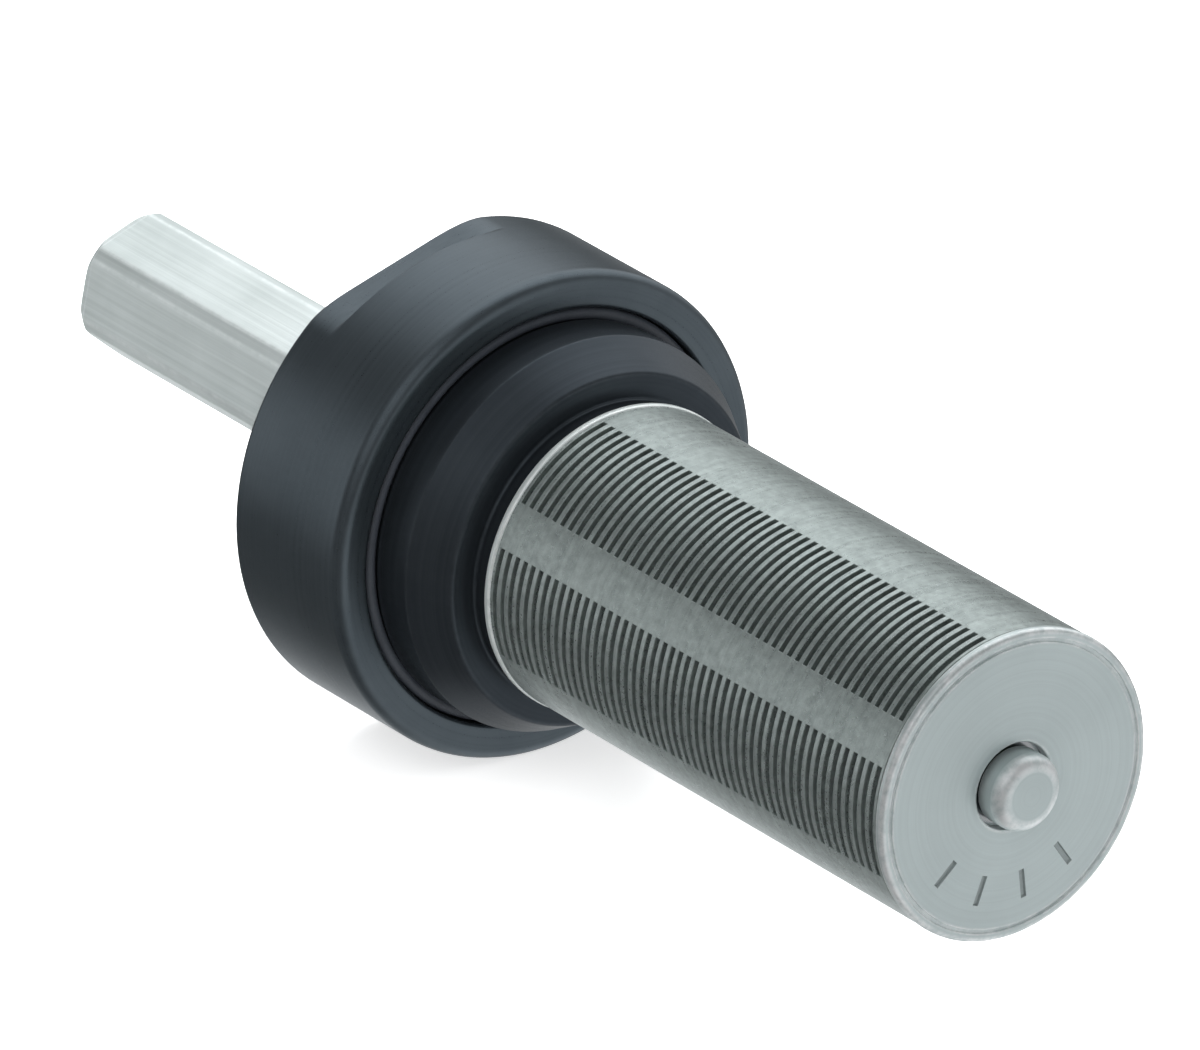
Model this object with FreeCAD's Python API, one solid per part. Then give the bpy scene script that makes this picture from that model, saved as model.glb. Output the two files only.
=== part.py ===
"""Oil burner nozzle with a slotted strainer: a hexagonal stem with the atomising discs at its far end,
a black swivel collar on a conical seating holder, a slotted strainer tube closed by an end cap, and a
spring-loaded shut-off needle whose button comes out through the cap.

Millimetres. The nozzle axis is X, +X towards the end cap, +Z up. X = 0 is the front face of the collar.
Angles around the axis are measured from -Y towards +Z.
"""
import math
import os

import FreeCAD
import Part

# ---- driving dimensions ---------------------------------------------------------------------------

# fits between pieces
STATIC_GAP = 0.05           # radial gap of pressed, screwed and pushed-in pieces
RUNNING_GAP = 0.03          # radial gap of the sliding needle
SWIVEL_GAP = 0.05           # radial gap of the turning collar
PAST_SURFACE = 1.0          # how far a cutter reaches past the surface it cuts

# hexagonal stem
HEX_ACROSS_FLATS = 11.0
HEX_CORNER_RADIUS = 6.05    # the corners are turned down to this radius
HEX_TURN = 12.0             # angle of the first flat
STEM_END = -53.5
STEM_SHOULDER = -10.0       # the hexagon stops here, inside the holder
STEM_SPIGOT_RADIUS = 5.0
STEM_FRONT = 9.0
STEM_BORE_RADIUS = 2.6
STEM_CHAMFER_RADIUS = 5.75
STEM_CHAMFER_LENGTH = 0.5
STEM_FRONT_ROUND = 0.3
STEM_SEAL_X = -5.0
STEM_SEAL_RADIUS = 4.6
STEM_SEAL_SECTION = 0.42
STEM_SEAL_GROOVE_WIDTH = 1.2
STEM_SEAL_GROOVE_RADIUS = 4.15

# atomising discs in the far end of the stem
POCKET_RADIUS = 4.3
POCKET_BOTTOM = -46.0
DISC_RADIUS = 4.2
SWIRL_DISC_THICKNESS = 1.9
SWIRL_HOLE_RADIUS = 1.3
SWIRL_CHAMBER_RADIUS = 2.1
SWIRL_SLOT_WIDTH = 0.5
SWIRL_SLOT_DEPTH = 0.5
SWIRL_SLOT_LEAN = 30.0
SWIRL_FEEDS = 4
FIRST_FEED_ANGLE = 45.0
FEED_NOTCH_WIDTH = 1.0
FEED_NOTCH_DEPTH = 0.6
FEED_GROOVE_DEPTH = 0.5
FEED_GROOVE_INNER_RADIUS = 2.2
ORIFICE_DISC_THICKNESS = 1.5
ORIFICE_RADIUS = 0.35
ORIFICE_LENGTH = 0.4
SEAT_MOUTH_RADIUS = 1.3
ORIFICE_NUT_OUTER_X = -53.0
SPRAY_MOUTH_RADIUS = 2.8
SPRAY_THROAT_RADIUS = 1.5
ORIFICE_NUT_CHAMFER = 0.3
DRIVER_SLOT_WIDTH = 1.2
DRIVER_SLOT_DEPTH = 1.2

# holder with the conical seating nose
HOLDER_REAR = -12.9
HOLDER_BEARING_RADIUS = 13.0
HOLDER_FLANGE_RADIUS = 16.0
HOLDER_FLANGE_REAR = -3.5
NOSE_RADIUS = 16.2
NOSE_LIP_X = 3.6
NOSE_TIP_X = 7.1
NOSE_TIP_RADIUS = 14.4
NECK_RADIUS = 12.2
NECK_FRONT = 8.7
HOLDER_FLOOR_X = 4.0        # bottom of the recess for the stem nut and the strainer thread
HOLDER_RECESS_RADIUS = 10.55
NOSE_EDGE_ROUND = 0.35

# drag ring in the holder flange
DRAG_RING_X = -0.8
DRAG_RING_RADIUS = 16.45
DRAG_RING_SECTION = 0.56
DRAG_GROOVE_WIDTH = 1.2
DRAG_GROOVE_RADIUS = 15.85

# snap ring behind the collar
SNAP_RING_REAR = -12.3
SNAP_RING_FRONT = -11.5
SNAP_RING_RADIUS = 14.0
SNAP_RING_INNER_RADIUS = 12.25
SNAP_GROOVE_REAR = -12.5
SNAP_GROOVE_RADIUS = 12.2
SNAP_GAP_ANGLE = -90.0
SNAP_GAP_SPREAD = 16.0
EAR_OFFSET = 9.0
EAR_RADIUS = 1.1
EAR_HOLE_RADIUS = 0.5
EAR_MIDDLE_RADIUS = 13.6

# nut and split washer on the stem
STEM_NUT_ACROSS_FLATS = 14.0
STEM_NUT_FRONT = 8.3
STEM_NUT_CORNER_RADIUS = 8.2
STEM_NUT_FACE_RADIUS = 7.2
STEM_NUT_CHAMFER_LENGTH = 0.5
LOCK_WASHER_THICKNESS = 0.8
LOCK_WASHER_RADIUS = 7.6
LOCK_WASHER_SPLIT = 0.8

# swivel collar
COLLAR_RADIUS = 20.0
COLLAR_REAR = -13.4
COLLAR_FRONT = 0.0
COLLAR_FRONT_BORE_RADIUS = 17.1
COLLAR_INNER_STEP_X = -4.3
COLLAR_REAR_RECESS_RADIUS = 14.9
COLLAR_REAR_RECESS_X = -11.4
COLLAR_FRONT_ROUND = 1.0
COLLAR_REAR_ROUND = 0.5
COLLAR_BORE_ROUND = 0.25
SPANNER_ACROSS_FLATS = 37.0
SPANNER_FLAT_LENGTH = 3.0
SPANNER_FLAT_TURN = 75.0
THRUST_WASHER_RADIUS = 16.0
THRUST_WASHER_PLAY = 0.03

# strainer
TUBE_RADIUS = 12.5
TUBE_INNER_RADIUS = 11.3
TUBE_REAR = 9.4
TUBE_FRONT = 57.25
SLOT_ROWS = 49
SLOT_PITCH = 0.974
SLOT_WIDTH = 0.48
FIRST_SLOT_X = 9.95
SLOT_BANK_ANGLES = (0.0, 60.0, 180.0, 240.0)    # two pairs, opposite each other
SLOT_BANK_SPREAD = 42.5
BASE_RING_RADIUS = 12.6
PLUG_RADIUS = TUBE_INNER_RADIUS - STATIC_GAP
BASE_PLUG_FRONT = 11.5
BASE_THREAD_REAR = 5.6
BASE_THREAD_RADIUS = 10.5
BASE_BORE_RADIUS = 9.2
BASE_RING_ROUND = 0.25
MESH_RADIUS = 11.1
MESH_THICKNESS = 0.2
MESH_END_GAP = 0.1
CAGE_RADIUS = 10.8
CAGE_INNER_RADIUS = 10.0
CAGE_WINDOW_ROWS = 5
CAGE_WINDOW_LENGTH = 7.0
CAGE_WINDOW_SPREAD = 44.0

# end cap and its guide bush
CAP_FACE_X = 58.1
CAP_RIM_RADIUS = 12.55
CAP_PLUG_REAR = 55.3
CAP_PLUG_INNER_RADIUS = 9.6
CAP_POCKET_FLOOR_X = 56.4
CAP_HUB_RADIUS = 7.0
CAP_HUB_REAR = 53.5
CAP_HOLE_RADIUS = 3.5
CAP_RIM_ROUND = 0.4
CAP_HOLE_ROUND = 0.15
CAP_GROOVE_RADIUS = 11.65
CAP_GROOVE_WIDTH = 0.3
CAP_GROOVE_DEPTH = 0.2
MARK_COUNT = 4
MARK_RADIUS = 8.4
MARK_LENGTH = 2.4
MARK_WIDTH = 0.5
MARK_DEPTH = 0.15
MARK_FIRST_ANGLE = -40.0
MARK_STEP = -28.0
BUSH_RADIUS = 5.0
BUSH_REAR = 52.0
BUSH_FRONT = 57.2
BUSH_BOSS_RADIUS = 2.4
BUSH_BOSS_REAR = 50.8
ROD_SEAL_X = 55.0
ROD_SEAL_RADIUS = 1.99
ROD_SEAL_SECTION = 0.42
ROD_SEAL_GROOVE_WIDTH = 1.0
ROD_SEAL_GROOVE_RADIUS = 2.45

# shut-off needle
ROD_RADIUS = 1.5
ROD_REAR = -42.0
ROD_FRONT = 59.3
TIP_RADIUS = 1.2
TIP_TAIL_RADIUS = 0.8
TIP_TAIL_LENGTH = 3.9
TIP_POINT_RADIUS = 0.25
SEAT_CLEARANCE = 0.05
HOLE_END_PLAY = 0.1         # spare depth of the holes that take the tip and the rod end
BUTTON_RADIUS = 3.1
BUTTON_REAR = 57.6
BUTTON_FRONT = 60.3
BUTTON_SHOULDER = 1.1
ROD_GUIDE_REAR = -40.0
ROD_GUIDE_FRONT = -34.0
ROD_GUIDE_FLATS = 3
ROD_GUIDE_FLAT_DISTANCE = 2.0

# return spring on the needle
SPRING_RADIUS = 3.3
SPRING_WIRE_RADIUS = 0.4
SPRING_WIRE_SIDES = 16
SPRING_TURNS = 7
SPRING_END_PLAY = 0.02
CUP_REAR = 35.0
CUP_FRONT = 36.0
CUP_RADIUS = 4.2
CUP_BOSS_RADIUS = 2.7
CUP_BOSS_FRONT = 37.2
CLIP_THICKNESS = 0.6
CLIP_RADIUS = 3.2
CLIP_GROOVE_RADIUS = 1.15
CLIP_PLAY = 0.02
CLIP_GROOVE_PLAY = 0.1
CLIP_MOUTH_WIDTH = 1.9
CLIP_RELIEF_RADIUS = 2.2
CLIP_RELIEF_SPREAD = 50.0
CLIP_RELIEF_ANGLES = (30.0, 150.0)

AXIS = FreeCAD.Vector(1, 0, 0)


# ---- helpers --------------------------------------------------------------------------------------

def on_axis(x):
    """Point on the nozzle axis."""
    return FreeCAD.Vector(x, 0, 0)


def direction(angle):
    """Unit vector pointing outwards at an angle around the axis."""
    turn = math.radians(angle)
    return FreeCAD.Vector(0, -math.cos(turn), math.sin(turn))


def turned(profile):
    """Solid of revolution about the X axis from a closed list of (x, radius) corners."""
    corners = [FreeCAD.Vector(x, 0, radius) for x, radius in profile]
    outline = Part.makePolygon(corners + corners[:1])
    return Part.Face(outline).revolve(on_axis(0), AXIS, 360)


def tube(x0, x1, outer, inner):
    """Plain ring from x0 to x1."""
    return turned([(x0, inner), (x1, inner), (x1, outer), (x0, outer)])


def rod(x0, x1, radius):
    """Plain round bar from x0 to x1."""
    return Part.makeCylinder(radius, x1 - x0, on_axis(x0), AXIS)


def ring_seal(x, middle_radius, section_radius):
    """Round-section sealing ring."""
    return Part.makeTorus(middle_radius, section_radius, on_axis(x), AXIS)


def ring_groove(x, width, inner, outer):
    """Cutter for a groove centred at x, from radius inner out past radius outer."""
    return tube(x - width / 2, x + width / 2, outer + PAST_SURFACE, inner)


def prism(across_flats, sides, first_angle, x0, x1):
    """Regular prism along the axis, its first flat facing first_angle."""
    corner_radius = across_flats / 2 / math.cos(math.pi / sides)
    step = 360.0 / sides
    corners = [on_axis(x0) + direction(first_angle + step * (i + 0.5)) * corner_radius for i in range(sides)]
    outline = Part.makePolygon(corners + corners[:1])
    return Part.Face(outline).extrude(on_axis(x1 - x0))


def box_at(angle, x0, x1, r0, r1, width):
    """Box reaching from radius r0 to r1 in the direction given by angle."""
    box = Part.makeBox(x1 - x0, width, r1 - r0, FreeCAD.Vector(x0, -width / 2, r0))
    box.rotate(on_axis(0), AXIS, 90 - angle)
    return box


def sector(x0, x1, inner, outer, middle_angle, spread):
    """Part of a ring covering spread degrees about middle_angle."""
    section = Part.makePolygon([
        FreeCAD.Vector(x0, 0, inner),
        FreeCAD.Vector(x1, 0, inner),
        FreeCAD.Vector(x1, 0, outer),
        FreeCAD.Vector(x0, 0, outer),
        FreeCAD.Vector(x0, 0, inner),
    ])
    piece = Part.Face(section).revolve(on_axis(0), AXIS, spread)
    piece.rotate(on_axis(0), AXIS, 90 - middle_angle - spread / 2)
    return piece


def round_rims(solid, radius, rims):
    """Round the circular edges found at the given (x, radius) places."""
    edges = []
    for edge in solid.Edges:
        curve = edge.Curve
        if not isinstance(curve, Part.Circle):
            continue
        for x, rim_radius in rims:
            if abs(curve.Center.x - x) < 1e-4 and abs(curve.Radius - rim_radius) < 1e-4:
                edges.append(edge)
    return solid.makeFillet(radius, edges)


# ---- stem and atomising discs ---------------------------------------------------------------------

def hex_stem():
    """Hexagonal bar, bored through, with a round spigot that goes through the holder."""
    bar = prism(HEX_ACROSS_FLATS, 6, HEX_TURN, STEM_END, STEM_SHOULDER)
    envelope = turned([
        (STEM_END, 0),
        (STEM_SHOULDER, 0),
        (STEM_SHOULDER, HEX_CORNER_RADIUS),
        (STEM_END + STEM_CHAMFER_LENGTH, HEX_CORNER_RADIUS),
        (STEM_END, STEM_CHAMFER_RADIUS),
    ])
    spigot = rod(STEM_SHOULDER, STEM_FRONT, STEM_SPIGOT_RADIUS)
    body = bar.common(envelope).fuse(spigot).removeSplitter()
    body = round_rims(body, STEM_FRONT_ROUND, [(STEM_FRONT, STEM_SPIGOT_RADIUS)])
    bore = rod(POCKET_BOTTOM, STEM_FRONT, STEM_BORE_RADIUS)
    pocket = rod(STEM_END, POCKET_BOTTOM, POCKET_RADIUS)
    groove = ring_groove(STEM_SEAL_X, STEM_SEAL_GROOVE_WIDTH, STEM_SEAL_GROOVE_RADIUS, STEM_SPIGOT_RADIUS)
    return body.cut(bore.fuse(pocket)).cut(groove)


def stem_seal_ring():
    return ring_seal(STEM_SEAL_X, STEM_SEAL_RADIUS, STEM_SEAL_SECTION)


def swirl_disc():
    """Disc with edge notches that feed four tangential slots round the needle tip."""
    x1 = POCKET_BOTTOM
    x0 = x1 - SWIRL_DISC_THICKNESS
    past_rim = DISC_RADIUS + PAST_SURFACE
    disc = tube(x0, x1, DISC_RADIUS, SWIRL_HOLE_RADIUS)
    chamber = rod(x0, x0 + SWIRL_SLOT_DEPTH, SWIRL_CHAMBER_RADIUS)
    cutters = [chamber]
    for i in range(SWIRL_FEEDS):
        angle = FIRST_FEED_ANGLE + 360.0 / SWIRL_FEEDS * i
        cutters.append(box_at(angle, x0, x1, DISC_RADIUS - FEED_NOTCH_DEPTH, past_rim, FEED_NOTCH_WIDTH))
        feed_x = x1 - FEED_GROOVE_DEPTH
        cutters.append(box_at(angle, feed_x, x1, FEED_GROOVE_INNER_RADIUS, past_rim, FEED_NOTCH_WIDTH))
        slot = box_at(90, x0, x0 + SWIRL_SLOT_DEPTH, 0, DISC_RADIUS, SWIRL_SLOT_WIDTH)
        slot.translate(FreeCAD.Vector(0, SWIRL_CHAMBER_RADIUS - SWIRL_SLOT_WIDTH / 2, 0))
        slot.rotate(on_axis(0), AXIS, 90 - angle - SWIRL_SLOT_LEAN)
        cutters.append(slot)
    return disc.cut(cutters)


def orifice_disc():
    """Hardened disc with the needle seat and the spray hole."""
    x1 = POCKET_BOTTOM - SWIRL_DISC_THICKNESS
    x0 = x1 - ORIFICE_DISC_THICKNESS
    return turned([
        (x0, ORIFICE_RADIUS),
        (x0 + ORIFICE_LENGTH, ORIFICE_RADIUS),
        (x1, SEAT_MOUTH_RADIUS),
        (x1, DISC_RADIUS),
        (x0, DISC_RADIUS),
    ])


def orifice_nut():
    """Slotted ring nut that clamps the discs, open in the middle for the spray cone."""
    x1 = POCKET_BOTTOM - SWIRL_DISC_THICKNESS - ORIFICE_DISC_THICKNESS
    x0 = ORIFICE_NUT_OUTER_X
    body = turned([
        (x0, SPRAY_MOUTH_RADIUS),
        (x1, SPRAY_THROAT_RADIUS),
        (x1, DISC_RADIUS),
        (x0 + ORIFICE_NUT_CHAMFER, DISC_RADIUS),
        (x0, DISC_RADIUS - ORIFICE_NUT_CHAMFER),
    ])
    reach = DISC_RADIUS + PAST_SURFACE
    driver_slot = box_at(90, x0, x0 + DRIVER_SLOT_DEPTH, -reach, reach, DRIVER_SLOT_WIDTH)
    return body.cut(driver_slot)


# ---- holder and swivel collar ---------------------------------------------------------------------

def holder():
    """Black body with the conical nose that seats in the burner, socketed for the hexagon."""
    body = turned([
        (HOLDER_REAR, 0),
        (HOLDER_FLOOR_X, 0),
        (HOLDER_FLOOR_X, HOLDER_RECESS_RADIUS),
        (NECK_FRONT, HOLDER_RECESS_RADIUS),
        (NECK_FRONT, NECK_RADIUS),
        (NOSE_TIP_X, NECK_RADIUS),
        (NOSE_TIP_X, NOSE_TIP_RADIUS),
        (NOSE_LIP_X, NOSE_RADIUS),
        (COLLAR_FRONT, NOSE_RADIUS),
        (COLLAR_FRONT, HOLDER_FLANGE_RADIUS),
        (HOLDER_FLANGE_REAR, HOLDER_FLANGE_RADIUS),
        (HOLDER_FLANGE_REAR, HOLDER_BEARING_RADIUS),
        (HOLDER_REAR, HOLDER_BEARING_RADIUS),
    ])
    body = round_rims(body, NOSE_EDGE_ROUND, [(NOSE_LIP_X, NOSE_RADIUS), (NOSE_TIP_X, NOSE_TIP_RADIUS)])
    socket = prism(HEX_ACROSS_FLATS + 2 * STATIC_GAP, 6, HEX_TURN, HOLDER_REAR, STEM_SHOULDER)
    socket = socket.common(rod(HOLDER_REAR, STEM_SHOULDER, HEX_CORNER_RADIUS + STATIC_GAP))
    bore = rod(STEM_SHOULDER, HOLDER_FLOOR_X, STEM_SPIGOT_RADIUS + STATIC_GAP)
    past_bearing = HOLDER_BEARING_RADIUS + PAST_SURFACE
    snap_groove = tube(SNAP_GROOVE_REAR, SNAP_RING_FRONT, past_bearing, SNAP_GROOVE_RADIUS)
    drag_groove = ring_groove(DRAG_RING_X, DRAG_GROOVE_WIDTH, DRAG_GROOVE_RADIUS, HOLDER_FLANGE_RADIUS)
    return body.cut([socket, bore, snap_groove, drag_groove])


def swivel_collar():
    """Black ring that turns on the holder; two spanner flats are milled at its rear edge."""
    body = turned([
        (COLLAR_REAR, COLLAR_REAR_RECESS_RADIUS),
        (COLLAR_REAR_RECESS_X, COLLAR_REAR_RECESS_RADIUS),
        (COLLAR_REAR_RECESS_X, HOLDER_BEARING_RADIUS + SWIVEL_GAP),
        (COLLAR_INNER_STEP_X, HOLDER_BEARING_RADIUS + SWIVEL_GAP),
        (COLLAR_INNER_STEP_X, COLLAR_FRONT_BORE_RADIUS),
        (COLLAR_FRONT, COLLAR_FRONT_BORE_RADIUS),
        (COLLAR_FRONT, COLLAR_RADIUS),
        (COLLAR_REAR, COLLAR_RADIUS),
    ])
    body = round_rims(body, COLLAR_FRONT_ROUND, [(COLLAR_FRONT, COLLAR_RADIUS)])
    body = round_rims(body, COLLAR_REAR_ROUND, [(COLLAR_REAR, COLLAR_RADIUS)])
    body = round_rims(body, COLLAR_BORE_ROUND, [(COLLAR_FRONT, COLLAR_FRONT_BORE_RADIUS)])
    x0 = COLLAR_REAR - PAST_SURFACE
    x1 = COLLAR_REAR + SPANNER_FLAT_LENGTH
    r0 = SPANNER_ACROSS_FLATS / 2
    r1 = COLLAR_RADIUS + PAST_SURFACE
    flats = [box_at(SPANNER_FLAT_TURN + turn, x0, x1, r0, r1, 2 * COLLAR_RADIUS) for turn in (0, 180)]
    return body.cut(flats)


def thrust_washer():
    """Flat ring between the holder flange and the step inside the collar."""
    x0 = COLLAR_INNER_STEP_X + THRUST_WASHER_PLAY
    return tube(x0, HOLDER_FLANGE_REAR, THRUST_WASHER_RADIUS, HOLDER_BEARING_RADIUS + STATIC_GAP)


def snap_ring():
    """Circlip behind the collar, with two drilled ears."""
    x0 = SNAP_RING_REAR
    x1 = SNAP_RING_FRONT
    r0 = SNAP_RING_INNER_RADIUS - PAST_SURFACE
    r1 = SNAP_RING_RADIUS + PAST_SURFACE
    ring = tube(x0, x1, SNAP_RING_RADIUS, SNAP_RING_INNER_RADIUS)
    ring = ring.cut(sector(x0, x1, r0, r1, SNAP_GAP_ANGLE, SNAP_GAP_SPREAD))
    ears = []
    holes = []
    for offset in (-EAR_OFFSET, EAR_OFFSET):
        place = direction(SNAP_GAP_ANGLE + offset) * EAR_MIDDLE_RADIUS
        ears.append(rod(x0, x1, EAR_RADIUS).translated(place))
        holes.append(rod(x0, x1, EAR_HOLE_RADIUS).translated(place))
    inside = rod(x0, x1, SNAP_RING_INNER_RADIUS)
    return ring.fuse(ears).cut(holes).cut(inside).removeSplitter()


def drag_ring():
    """Rubber ring in the groove of the holder flange that gives the collar a little drag."""
    return ring_seal(DRAG_RING_X, DRAG_RING_RADIUS, DRAG_RING_SECTION)


def lock_washer():
    """Split spring washer under the stem nut."""
    x0 = HOLDER_FLOOR_X
    x1 = HOLDER_FLOOR_X + LOCK_WASHER_THICKNESS
    ring = tube(x0, x1, LOCK_WASHER_RADIUS, STEM_SPIGOT_RADIUS + STATIC_GAP)
    return ring.cut(box_at(90, x0, x1, 0, LOCK_WASHER_RADIUS + PAST_SURFACE, LOCK_WASHER_SPLIT))


def stem_nut():
    """Thin hexagon nut that pulls the stem into the holder."""
    x0 = HOLDER_FLOOR_X + LOCK_WASHER_THICKNESS
    x1 = STEM_NUT_FRONT
    nut = prism(STEM_NUT_ACROSS_FLATS, 6, 0, x0, x1)
    chamfered = turned([
        (x0, 0),
        (x1, 0),
        (x1, STEM_NUT_FACE_RADIUS),
        (x1 - STEM_NUT_CHAMFER_LENGTH, STEM_NUT_CORNER_RADIUS),
        (x0 + STEM_NUT_CHAMFER_LENGTH, STEM_NUT_CORNER_RADIUS),
        (x0, STEM_NUT_FACE_RADIUS),
    ])
    return nut.common(chamfered).cut(rod(x0, x1, STEM_SPIGOT_RADIUS + STATIC_GAP))


# ---- strainer -------------------------------------------------------------------------------------

def strainer_tube():
    """Tube with two pairs of banks of narrow slots, separated by plain lands."""
    wall = tube(TUBE_REAR, TUBE_FRONT, TUBE_RADIUS, TUBE_INNER_RADIUS)
    r0 = TUBE_INNER_RADIUS - PAST_SURFACE
    r1 = TUBE_RADIUS + PAST_SURFACE
    slots = []
    for row in range(SLOT_ROWS):
        middle = FIRST_SLOT_X + SLOT_PITCH * row
        x0 = middle - SLOT_WIDTH / 2
        x1 = middle + SLOT_WIDTH / 2
        for angle in SLOT_BANK_ANGLES:
            slots.append(sector(x0, x1, r0, r1, angle, SLOT_BANK_SPREAD))
    return wall.cut(slots)


def strainer_base_ring():
    """Bright ring that carries the tube and screws into the holder."""
    body = turned([
        (BASE_THREAD_REAR, BASE_BORE_RADIUS),
        (BASE_PLUG_FRONT, BASE_BORE_RADIUS),
        (BASE_PLUG_FRONT, PLUG_RADIUS),
        (TUBE_REAR, PLUG_RADIUS),
        (TUBE_REAR, BASE_RING_RADIUS),
        (NECK_FRONT, BASE_RING_RADIUS),
        (NECK_FRONT, BASE_THREAD_RADIUS),
        (BASE_THREAD_REAR, BASE_THREAD_RADIUS),
    ])
    return round_rims(body, BASE_RING_ROUND, [(NECK_FRONT, BASE_RING_RADIUS), (TUBE_REAR, BASE_RING_RADIUS)])


def mesh_sleeve():
    """Fine wire mesh rolled into a sleeve, drawn as a thin tube."""
    x0 = BASE_PLUG_FRONT + MESH_END_GAP
    x1 = CAP_PLUG_REAR - MESH_END_GAP
    return tube(x0, x1, MESH_RADIUS, MESH_RADIUS - MESH_THICKNESS)


def mesh_cage():
    """Windowed inner tube that keeps the mesh from collapsing."""
    x0 = BASE_PLUG_FRONT + MESH_END_GAP
    x1 = CAP_PLUG_REAR - MESH_END_GAP
    r0 = CAGE_INNER_RADIUS - PAST_SURFACE
    r1 = CAGE_RADIUS + PAST_SURFACE
    wall = tube(x0, x1, CAGE_RADIUS, CAGE_INNER_RADIUS)
    pitch = (x1 - x0) / CAGE_WINDOW_ROWS
    windows = []
    for row in range(CAGE_WINDOW_ROWS):
        middle = x0 + pitch * (row + 0.5)
        w0 = middle - CAGE_WINDOW_LENGTH / 2
        w1 = middle + CAGE_WINDOW_LENGTH / 2
        for angle in SLOT_BANK_ANGLES:
            windows.append(sector(w0, w1, r0, r1, angle, CAGE_WINDOW_SPREAD))
    return wall.cut(windows)


def end_cap():
    """Pressed cap with a rounded rim, a fine groove inside it and plain size ticks."""
    body = turned([
        (CAP_HUB_REAR, BUSH_RADIUS + STATIC_GAP),
        (BUSH_FRONT, BUSH_RADIUS + STATIC_GAP),
        (BUSH_FRONT, CAP_HOLE_RADIUS),
        (CAP_FACE_X, CAP_HOLE_RADIUS),
        (CAP_FACE_X, CAP_RIM_RADIUS),
        (TUBE_FRONT, CAP_RIM_RADIUS),
        (TUBE_FRONT, PLUG_RADIUS),
        (CAP_PLUG_REAR, PLUG_RADIUS),
        (CAP_PLUG_REAR, CAP_PLUG_INNER_RADIUS),
        (CAP_POCKET_FLOOR_X, CAP_PLUG_INNER_RADIUS),
        (CAP_POCKET_FLOOR_X, CAP_HUB_RADIUS),
        (CAP_HUB_REAR, CAP_HUB_RADIUS),
    ])
    body = round_rims(body, CAP_RIM_ROUND, [(CAP_FACE_X, CAP_RIM_RADIUS), (TUBE_FRONT, CAP_RIM_RADIUS)])
    body = round_rims(body, CAP_HOLE_ROUND, [(CAP_FACE_X, CAP_HOLE_RADIUS)])
    x1 = CAP_FACE_X + PAST_SURFACE
    groove_outer = CAP_GROOVE_RADIUS + CAP_GROOVE_WIDTH / 2
    groove_inner = CAP_GROOVE_RADIUS - CAP_GROOVE_WIDTH / 2
    cutters = [tube(CAP_FACE_X - CAP_GROOVE_DEPTH, x1, groove_outer, groove_inner)]
    r0 = MARK_RADIUS - MARK_LENGTH / 2
    r1 = MARK_RADIUS + MARK_LENGTH / 2
    for i in range(MARK_COUNT):
        angle = MARK_FIRST_ANGLE + MARK_STEP * i
        cutters.append(box_at(angle, CAP_FACE_X - MARK_DEPTH, x1, r0, r1, MARK_WIDTH))
    return body.cut(cutters)


def guide_bush():
    """Bush in the cap that guides the needle rod, centres the spring and holds the rod seal."""
    inner = ROD_RADIUS + RUNNING_GAP
    body = turned([
        (BUSH_BOSS_REAR, inner),
        (BUSH_FRONT, inner),
        (BUSH_FRONT, BUSH_RADIUS),
        (BUSH_REAR, BUSH_RADIUS),
        (BUSH_REAR, BUSH_BOSS_RADIUS),
        (BUSH_BOSS_REAR, BUSH_BOSS_RADIUS),
    ])
    x0 = ROD_SEAL_X - ROD_SEAL_GROOVE_WIDTH / 2
    x1 = ROD_SEAL_X + ROD_SEAL_GROOVE_WIDTH / 2
    return body.cut(tube(x0, x1, ROD_SEAL_GROOVE_RADIUS, ROD_RADIUS))


def rod_seal_ring():
    return ring_seal(ROD_SEAL_X, ROD_SEAL_RADIUS, ROD_SEAL_SECTION)


# ---- shut-off needle ------------------------------------------------------------------------------

def needle_rod():
    """Straight rod from the needle tip to the button, grooved for the spring clip."""
    bar = rod(ROD_REAR, ROD_FRONT, ROD_RADIUS)
    tip_hole = rod(ROD_REAR, ROD_REAR + TIP_TAIL_LENGTH + HOLE_END_PLAY, TIP_TAIL_RADIUS + STATIC_GAP)
    groove_rear = CUP_REAR - CLIP_THICKNESS - CLIP_GROOVE_PLAY
    clip_groove = tube(groove_rear, CUP_REAR, ROD_RADIUS + PAST_SURFACE, CLIP_GROOVE_RADIUS)
    return bar.cut([tip_hole, clip_groove])


def needle_tip():
    """Hardened point that closes the spray hole."""
    seat_x = POCKET_BOTTOM - SWIRL_DISC_THICKNESS
    cone_length = ORIFICE_DISC_THICKNESS - ORIFICE_LENGTH
    cone_slope = (SEAT_MOUTH_RADIUS - ORIFICE_RADIUS) / cone_length
    point_x = seat_x - (SEAT_MOUTH_RADIUS - SEAT_CLEARANCE - TIP_POINT_RADIUS) / cone_slope
    shoulder_x = seat_x - (SEAT_MOUTH_RADIUS - SEAT_CLEARANCE - TIP_RADIUS) / cone_slope
    return turned([
        (point_x, 0),
        (ROD_REAR + TIP_TAIL_LENGTH, 0),
        (ROD_REAR + TIP_TAIL_LENGTH, TIP_TAIL_RADIUS),
        (ROD_REAR, TIP_TAIL_RADIUS),
        (ROD_REAR, TIP_RADIUS),
        (shoulder_x, TIP_RADIUS),
        (point_x, TIP_POINT_RADIUS),
    ])


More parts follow.
